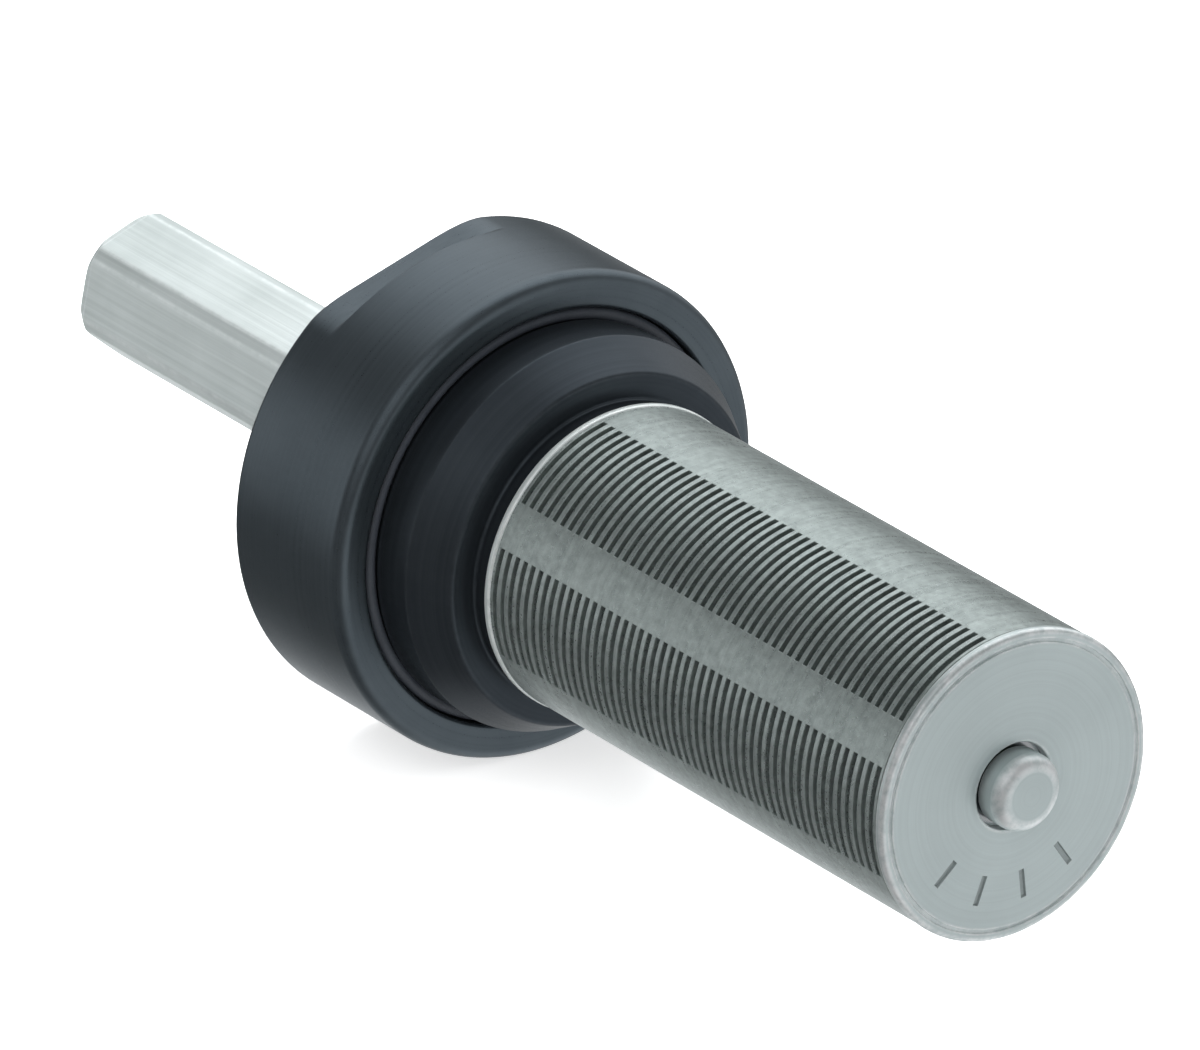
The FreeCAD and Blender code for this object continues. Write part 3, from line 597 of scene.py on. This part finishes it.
def make_slotted_tube(material):
    """Tube wall with a grid of slots; the bevel rounds every slot edge and both rims."""
    angles, in_slot = slot_columns()
    stations = [TUBE_REAR]
    for row in range(SLOT_ROWS):
        middle = FIRST_SLOT_X + SLOT_PITCH * row
        stations += [middle - SLOT_WIDTH / 2, middle + SLOT_WIDTH / 2]
    stations.append(TUBE_FRONT)
    columns = len(angles)
    rows = len(stations)
    points = []
    for radius in (TUBE_RADIUS, TUBE_INNER_RADIUS):
        for x in stations:
            for angle in angles:
                turn = math.radians(angle)
                points.append((x * MM, -radius * math.cos(turn) * MM, radius * math.sin(turn) * MM))

    def corner(layer, row, column):
        return layer * rows * columns + row * columns + column % columns

    def is_open(row, column):
        return 0 <= row < rows - 1 and row % 2 == 1 and in_slot[column % columns]

    faces = []
    for row in range(rows - 1):
        for column in range(columns):
            if is_open(row, column):
                continue
            for layer in (0, 1):
                faces.append([corner(layer, row, column), corner(layer, row, column + 1),
                              corner(layer, row + 1, column + 1), corner(layer, row + 1, column)])
    for row in range(rows):
        for column in range(columns):
            below = row > 0 and not is_open(row - 1, column)
            above = row < rows - 1 and not is_open(row, column)
            if below != above:
                faces.append([corner(0, row, column), corner(0, row, column + 1),
                              corner(1, row, column + 1), corner(1, row, column)])
    for row in range(rows - 1):
        for column in range(columns):
            if is_open(row, column) != is_open(row, column - 1):
                faces.append([corner(0, row, column), corner(0, row + 1, column),
                              corner(1, row + 1, column), corner(1, row, column)])
    mesh = bpy.data.meshes.new("slotted_tube")
    mesh.from_pydata(points, [], faces)
    shade(mesh)
    piece = new_object("slotted_tube", mesh, "nozzle", material, ["strainer_tube"])
    bevel = piece.modifiers.new("slot_edges", "BEVEL")
    bevel.width = SLOT_EDGE_ROUND * MM
    bevel.segments = 2
    bevel.limit_method = "ANGLE"
    bevel.angle_limit = BEVEL_ANGLE
    bevel.harden_normals = True


def make_weave(material):
    """Woven wire: rings and lengthwise wires that pass over and under each other."""
    rows = int((WEAVE_FRONT - WEAVE_REAR) / WEAVE_PITCH)
    xs = WEAVE_REAR + WEAVE_PITCH * (np.arange(rows) + 0.5)
    turns = np.arange(WEAVE_COLUMNS) * 2 * math.pi / WEAVE_COLUMNS
    rings = []
    for i, x in enumerate(xs):
        sign = np.where((np.arange(WEAVE_COLUMNS) + i) % 2 == 0, 1.0, -1.0)
        radius = WEAVE_RADIUS + WEAVE_WIRE_RADIUS * sign
        ring = [np.full_like(turns, x), -radius * np.cos(turns), radius * np.sin(turns)]
        rings.append(np.stack(ring, axis=1))
    lines = []
    for j, turn in enumerate(turns):
        sign = np.where((np.arange(rows) + j) % 2 == 0, -1.0, 1.0)
        radius = WEAVE_RADIUS + WEAVE_WIRE_RADIUS * sign
        lines.append(np.stack([xs, -radius * math.cos(turn), radius * math.sin(turn)], axis=1))
    around = swept_mesh("weave_rings", rings, WEAVE_WIRE_RADIUS, WEAVE_WIRE_SIDES, True)
    along = swept_mesh("weave_lines", lines, WEAVE_WIRE_RADIUS, WEAVE_WIRE_SIDES, False)
    work = bmesh.new()
    work.from_mesh(around)
    work.from_mesh(along)
    mesh = bpy.data.meshes.new("wire_mesh")
    work.to_mesh(mesh)
    work.free()
    new_object("wire_mesh", mesh, "nozzle", material, ["mesh_sleeve"])


def make_cap(material, marked):
    groove_outer = CAP_GROOVE_RADIUS + CAP_GROOVE_WIDTH / 2
    groove_inner = CAP_GROOVE_RADIUS - CAP_GROOVE_WIDTH / 2
    groove_floor = CAP_FACE_X - CAP_GROOVE_DEPTH
    outline = rounded([
        (CAP_HUB_REAR, BUSH_BORE_RADIUS, 0.1),
        (BUSH_FRONT, BUSH_BORE_RADIUS, 0.0),
        (BUSH_FRONT, CAP_HOLE_RADIUS, 0.1),
        (CAP_FACE_X, CAP_HOLE_RADIUS, 0.18),
        (CAP_FACE_X, groove_inner, 0.08),
        (groove_floor, groove_inner, 0.05),
        (groove_floor, groove_outer, 0.05),
        (CAP_FACE_X, groove_outer, 0.1),
        (CAP_FACE_X, CAP_RIM_RADIUS, CAP_RIM_ROUND),
        (TUBE_FRONT, CAP_RIM_RADIUS, 0.25),
        (TUBE_FRONT, PLUG_RADIUS, 0.0),
        (CAP_PLUG_REAR, PLUG_RADIUS, 0.2),
        (CAP_PLUG_REAR, CAP_PLUG_INNER_RADIUS, 0.2),
        (CAP_POCKET_FLOOR_X, CAP_PLUG_INNER_RADIUS, 0.2),
        (CAP_POCKET_FLOOR_X, CAP_HUB_RADIUS, 0.2),
        (CAP_HUB_REAR, CAP_HUB_RADIUS, 0.2),
    ])
    mesh = turned_mesh("cap_disc", outline, STEPS_MEDIUM)
    cap = new_object("cap_disc", mesh, "nozzle", material, ["end_cap"])
    cut_marks(cap, marked)


def cut_marks(cap, marked):
    """Engraves the plain ticks in the cap's face and gives them the stamped finish."""
    work = bmesh.new()
    for i in range(MARK_COUNT):
        turn = math.radians(MARK_FIRST_ANGLE + MARK_STEP * i)
        outward = Vector((0, -math.cos(turn), math.sin(turn)))
        across = Vector((0, math.sin(turn), math.cos(turn)))
        made = bmesh.ops.create_cube(work, size=1.0)
        for vertex in made["verts"]:
            x, side, out = vertex.co
            narrow = 0.7 if x < 0 else 1.3
            vertex.co = Vector((CAP_FACE_X * MM + x * 2 * MARK_DEPTH * MM, 0, 0))
            vertex.co += outward * (MARK_RADIUS + out * MARK_LENGTH * (0.9 if x < 0 else 1.1)) * MM
            vertex.co += across * side * MARK_WIDTH * narrow * MM
    tool_mesh = bpy.data.meshes.new("mark_tool")
    work.to_mesh(tool_mesh)
    tool_mesh.materials.append(marked)
    work.free()
    tool = bpy.data.objects.new("mark_tool", tool_mesh)
    bpy.context.scene.collection.objects.link(tool)
    cut = cap.modifiers.new("marks", "BOOLEAN")
    cut.object = tool
    cut.operation = "DIFFERENCE"
    cut.solver = "EXACT"
    cut.material_mode = "TRANSFER"
    view_layer = bpy.context.evaluated_depsgraph_get()
    result = bpy.data.meshes.new_from_object(cap.evaluated_get(view_layer), depsgraph=view_layer)
    cap.modifiers.clear()
    cap.data = result
    cap.data.name = "cap_disc"
    shade(cap.data)
    bpy.data.objects.remove(tool)


def make_button(material):
    outline = rounded([
        (BUTTON_REAR, BUTTON_BORE_RADIUS, 0.1),
        (BUTTON_REAR, BUTTON_RADIUS, 0.2),
        (BUTTON_FRONT, BUTTON_RADIUS, BUTTON_SHOULDER),
        (BUTTON_FRONT, 0.02, 0.0),
        (BUTTON_BORE_FRONT, 0.02, 0.0),
        (BUTTON_BORE_FRONT, BUTTON_BORE_RADIUS, 0.0),
    ], steps=12)
    mesh = turned_mesh("button_head", outline, STEPS_SMALL)
    new_object("button_head", mesh, "needle", material, ["needle_button"])


def make_seal(name, ring, replaced, material):
    """Moulded ring with the thin flash line left on its outer and inner middle."""
    x, middle, section = ring
    outline = []
    for k in range(SEAL_STEPS):
        turn = 2 * math.pi * k / SEAL_STEPS
        flash = FLASH_HEIGHT * math.exp(-(math.sin(turn) / FLASH_SPREAD) ** 2)
        size = section - FLASH_HEIGHT + flash
        outline.append((x + size * math.sin(turn), middle + size * math.cos(turn), 0.0))
    new_object(name, turned_mesh(name, outline, STEPS_SMALL), "nozzle", material, [replaced])


def make_spring(material):
    """Compression spring with a closed coil at each end."""
    count = int(SPRING_TURNS * SPRING_STEPS_PER_TURN) + 1
    turn = np.linspace(0, SPRING_TURNS, count)
    rear = SPRING_REAR + SPRING_WIRE_RADIUS
    front = SPRING_FRONT - SPRING_WIRE_RADIUS
    closed = 2 * SPRING_WIRE_RADIUS
    rise = np.interp(turn, [0, 1, SPRING_TURNS - 1, SPRING_TURNS],
                     [0, closed, front - rear - closed, front - rear])
    padded = np.pad(rise, SPRING_SMOOTHING, mode="reflect", reflect_type="odd")
    window = 2 * SPRING_SMOOTHING + 1
    smooth = np.convolve(padded, np.ones(window) / window, mode="valid")
    angle = 2 * math.pi * turn
    path = np.stack([rear + smooth, SPRING_RADIUS * np.cos(angle), SPRING_RADIUS * np.sin(angle)], axis=1)
    mesh = swept_mesh("spring_coil", [path], SPRING_WIRE_RADIUS, SPRING_WIRE_SIDES, False)
    spring = new_object("spring_coil", mesh, "nozzle", material, ["return_spring"])
    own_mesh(spring)


# ---- camera, floor and light ----------------------------------------------------------------------

def make_camera():
    azimuth = math.radians(CAMERA_AZIMUTH)
    elevation = math.radians(CAMERA_ELEVATION)
    back = Vector((math.sin(azimuth) * math.cos(elevation), -math.cos(azimuth) * math.cos(elevation),
                   math.sin(elevation)))
    right = Vector((math.cos(azimuth), math.sin(azimuth), 0))
    up = back.cross(right)
    target = right * FRAME_OFFSET_RIGHT + up * FRAME_OFFSET_UP
    data = bpy.data.cameras.new("camera")
    data.sensor_width = CAMERA_SENSOR
    data.lens = CAMERA_SENSOR * CAMERA_DISTANCE / FRAME_WIDTH
    data.clip_end = 20
    camera = bpy.data.objects.new("camera", data)
    camera.location = target + back * CAMERA_DISTANCE
    camera.rotation_euler = (-back).to_track_quat("-Z", "Y").to_euler()
    bpy.context.scene.collection.objects.link(camera)
    bpy.context.scene.camera = camera


def make_floor():
    """Wide pale floor under the lowest point of the collar; it is backlit a little, so shadows stay faint."""
    work = bmesh.new()
    bmesh.ops.create_grid(work, x_segments=24, y_segments=24, size=FLOOR_HALF_SIZE)
    mesh = bpy.data.meshes.new("floor")
    work.to_mesh(mesh)
    work.free()
    nodes = Nodes("floor_paper")
    place = object_coordinates(nodes)
    tone = nodes.remap(nodes.noise(place, 3.0), 0.3, 0.7, 0.0, 1.0)
    paper = nodes.mix(tone, (0.90, 0.90, 0.90, 1), (0.92, 0.92, 0.92, 1))
    nodes.feed(nodes.shader.inputs["Base Color"], paper)
    nodes.shader.inputs["Roughness"].default_value = 0.9
    nodes.shader.inputs["Emission Color"].default_value = (1, 1, 1, 1)
    nodes.shader.inputs["Emission Strength"].default_value = FLOOR_GLOW
    mesh.materials.append(nodes.material)
    floor = bpy.data.objects.new("floor", mesh)
    floor.location.z = -(COLLAR_RADIUS + FLOOR_GAP) * MM
    floor.visible_glossy = False
    bpy.context.scene.collection.objects.link(floor)


def add_panel(name, place, size, power):
    """Soft square light aimed at the part; it isn't mirrored in the metal."""
    data = bpy.data.lights.new(name, "AREA")
    data.shape = "RECTANGLE"
    data.size = size
    data.size_y = size
    data.energy = power
    panel = bpy.data.objects.new(name, data)
    panel.location = place
    panel.rotation_euler = (-Vector(place)).to_track_quat("-Z", "Y").to_euler()
    panel.visible_glossy = False
    bpy.context.scene.collection.objects.link(panel)


def make_world():
    """Studio surround: soft glows over a dim base, added one by one and never past full strength."""
    world = bpy.data.worlds.new("studio")
    world.use_nodes = True
    tree = world.node_tree
    tree.nodes.clear()
    coordinates = tree.nodes.new("ShaderNodeTexCoord")
    total = None
    for direction, low, high, strength in SURROUND_GLOWS:
        dot = tree.nodes.new("ShaderNodeVectorMath")
        dot.operation = "DOT_PRODUCT"
        tree.links.new(coordinates.outputs["Generated"], dot.inputs[0])
        dot.inputs[1].default_value = Vector(direction).normalized()
        span = tree.nodes.new("ShaderNodeMapRange")
        span.interpolation_type = "SMOOTHSTEP"
        tree.links.new(dot.outputs["Value"], span.inputs["Value"])
        span.inputs["From Min"].default_value = low
        span.inputs["From Max"].default_value = high
        span.inputs["To Max"].default_value = strength
        add = tree.nodes.new("ShaderNodeMath")
        add.operation = "ADD"
        add.use_clamp = True
        tree.links.new(span.outputs[0], add.inputs[0])
        if total is None:
            add.inputs[1].default_value = SURROUND_BASE
        else:
            tree.links.new(total, add.inputs[1])
        total = add.outputs[0]
    background = tree.nodes.new("ShaderNodeBackground")
    background.inputs["Color"].default_value = SURROUND_COLOUR
    tree.links.new(total, background.inputs["Strength"])
    output = tree.nodes.new("ShaderNodeOutputWorld")
    tree.links.new(background.outputs[0], output.inputs[0])
    bpy.context.scene.world = world


# ---- the scene ------------------------------------------------------------------------------------

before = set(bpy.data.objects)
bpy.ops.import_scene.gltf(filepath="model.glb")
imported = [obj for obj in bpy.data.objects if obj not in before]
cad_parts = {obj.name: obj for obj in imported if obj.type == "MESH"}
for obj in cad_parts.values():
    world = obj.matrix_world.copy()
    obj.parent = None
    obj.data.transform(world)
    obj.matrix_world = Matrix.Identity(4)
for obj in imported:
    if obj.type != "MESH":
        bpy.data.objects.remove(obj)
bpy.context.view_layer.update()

STEM_STEEL = metal(
    "stem_steel_drawn",
    dark=(0.53, 0.59, 0.58, 1), light=(0.76, 0.82, 0.815, 1), wear_and_highlight=(0.86, 0.91, 0.91, 1),
    roughness=0.40, marks="drawn", mark_scale=2600.0, mark_depth=0.00003,
    grain_scale=9000.0, grain_depth=0.000006, metallic=0.66,
)
STRAINER_STEEL = metal(
    "strainer_steel_satin",
    dark=(0.31, 0.352, 0.345, 1), light=(0.55, 0.62, 0.60, 1), wear_and_highlight=(0.90, 0.94, 0.93, 1),
    roughness=0.31, marks="turned", mark_scale=2600.0, mark_depth=0.000004,
    grain_scale=4200.0, grain_depth=0.00004, metallic=0.88, blotch_scale=1500.0,
)
# cap and button steel: its near-white edge tone at full share paints a highlight along the cap's rim and the
# button's shoulder, besides wear
CAP_STEEL = metal(
    "cap_steel_satin",
    dark=(0.56, 0.63, 0.63, 1), light=(0.66, 0.74, 0.74, 1), wear_and_highlight=(0.98, 1.0, 1.0, 1),
    roughness=0.38, marks="turned", mark_scale=3200.0, mark_depth=0.0000015,
    grain_scale=6000.0, grain_depth=0.000012, wear_and_highlight_share=1.0, metallic=0.84,
)
MARK_STEEL = metal(
    "cap_marks_stamped",
    dark=(0.34, 0.385, 0.385, 1), light=(0.44, 0.49, 0.49, 1), wear_and_highlight=(0.5, 0.5, 0.5, 1),
    roughness=0.46, marks="drawn", mark_scale=3000.0, mark_depth=0.000003,
    grain_scale=6000.0, grain_depth=0.000010, metallic=0.84,
)
# base ring steel: its brighter, partly diffuse tone and full near-white edge tone paint a highlight line
# round the tube's rear end
RIM_STEEL_PAINTED_HIGHLIGHT = metal(
    "rim_steel_painted_highlight",
    dark=(0.60, 0.66, 0.65, 1), light=(0.74, 0.80, 0.79, 1), wear_and_highlight=(0.92, 0.95, 0.94, 1),
    roughness=0.34, marks="turned", mark_scale=3200.0, mark_depth=0.000003,
    grain_scale=6000.0, grain_depth=0.000006, wear_and_highlight_share=1.0, metallic=0.70,
)
BLACK_COLLAR = metal(
    "collar_black_oxide",
    dark=(0.108, 0.132, 0.150, 1), light=(0.158, 0.188, 0.210, 1), wear_and_highlight=(0.24, 0.27, 0.29, 1),
    roughness=0.33, marks="turned", mark_scale=2400.0, mark_depth=0.0000025,
    grain_scale=7000.0, grain_depth=0.000003, wear_and_highlight_share=0.10, metallic=0.93,
)
BLACK_HOLDER = metal(
    "holder_black_oxide",
    dark=(0.048, 0.058, 0.070, 1), light=(0.076, 0.090, 0.104, 1), wear_and_highlight=(0.16, 0.18, 0.195, 1),
    roughness=0.37, marks="turned", mark_scale=2400.0, mark_depth=0.0000035,
    grain_scale=7000.0, grain_depth=0.000004, wear_and_highlight_share=0.15, metallic=0.89,
)
MESH_STEEL = metal(
    "mesh_wire_steel",
    dark=(0.68, 0.73, 0.72, 1), light=(0.84, 0.88, 0.87, 1), wear_and_highlight=(0.95, 0.95, 0.95, 1),
    roughness=0.45, marks="drawn", mark_scale=9000.0, mark_depth=0.000002,
    grain_scale=9000.0, grain_depth=0.000002, metallic=0.3,
)
HARD_STEEL = metal(
    "hard_steel_ground",
    dark=(0.52, 0.53, 0.54, 1), light=(0.64, 0.65, 0.66, 1), wear_and_highlight=(0.8, 0.8, 0.8, 1),
    roughness=0.24, marks="turned", mark_scale=6000.0, mark_depth=0.000003,
    grain_scale=9000.0, grain_depth=0.000002,
)
SPRING_STEEL = metal(
    "spring_steel_wire",
    dark=(0.40, 0.41, 0.42, 1), light=(0.55, 0.56, 0.57, 1), wear_and_highlight=(0.7, 0.7, 0.7, 1),
    roughness=0.28, marks="drawn", mark_scale=7000.0, mark_depth=0.000002,
    grain_scale=9000.0, grain_depth=0.000002,
)
BRASS = metal(
    "brass_turned",
    dark=(0.52, 0.37, 0.17, 1), light=(0.70, 0.52, 0.27, 1), wear_and_highlight=(0.85, 0.70, 0.42, 1),
    roughness=0.32, marks="turned", mark_scale=4000.0, mark_depth=0.000006,
    grain_scale=7000.0, grain_depth=0.000003,
)
RUBBER = rubber("seal_rubber_matt", (0.034, 0.040, 0.050, 1), (0.050, 0.057, 0.069, 1))

make_stem(STEM_STEEL)
make_collar(BLACK_COLLAR)
make_holder(BLACK_HOLDER)
make_base_ring(RIM_STEEL_PAINTED_HIGHLIGHT)
make_slotted_tube(STRAINER_STEEL)
make_weave(MESH_STEEL)
make_cap(CAP_STEEL, MARK_STEEL)
make_button(CAP_STEEL)
make_seal("drag_rubber", DRAG_RING, "drag_ring", RUBBER)
make_seal("stem_rubber", STEM_SEAL, "stem_seal_ring", RUBBER)
make_seal("rod_rubber", ROD_SEAL, "rod_seal_ring", RUBBER)
make_spring(SPRING_STEEL)

# CAD nodes whose shape is right already; they only get their finish
CARRIED_OVER = {
    "swirl_disc": HARD_STEEL,
    "orifice_disc": HARD_STEEL,
    "orifice_nut": BRASS,
    "thrust_washer": BRASS,
    "snap_ring": SPRING_STEEL,
    "lock_washer": SPRING_STEEL,
    "stem_nut": STEM_STEEL,
    "mesh_cage": MESH_STEEL,
    "guide_bush": HARD_STEEL,
    "rod_guide": BRASS,
    "needle_rod": STEM_STEEL,
    "needle_tip": HARD_STEEL,
    "spring_cup": HARD_STEEL,
    "spring_clip": SPRING_STEEL,
}
for node, finish in CARRIED_OVER.items():
    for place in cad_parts[node].material_slots:
        place.material = finish

make_camera()
make_floor()
make_world()
add_panel("top_panel", (-0.5, 0.5, 0.9), size=0.9, power=22.0)
add_panel("side_panel", (0.6, -0.7, 0.8), size=0.8, power=9.0)
bpy.context.scene.view_settings.view_transform = "Standard"
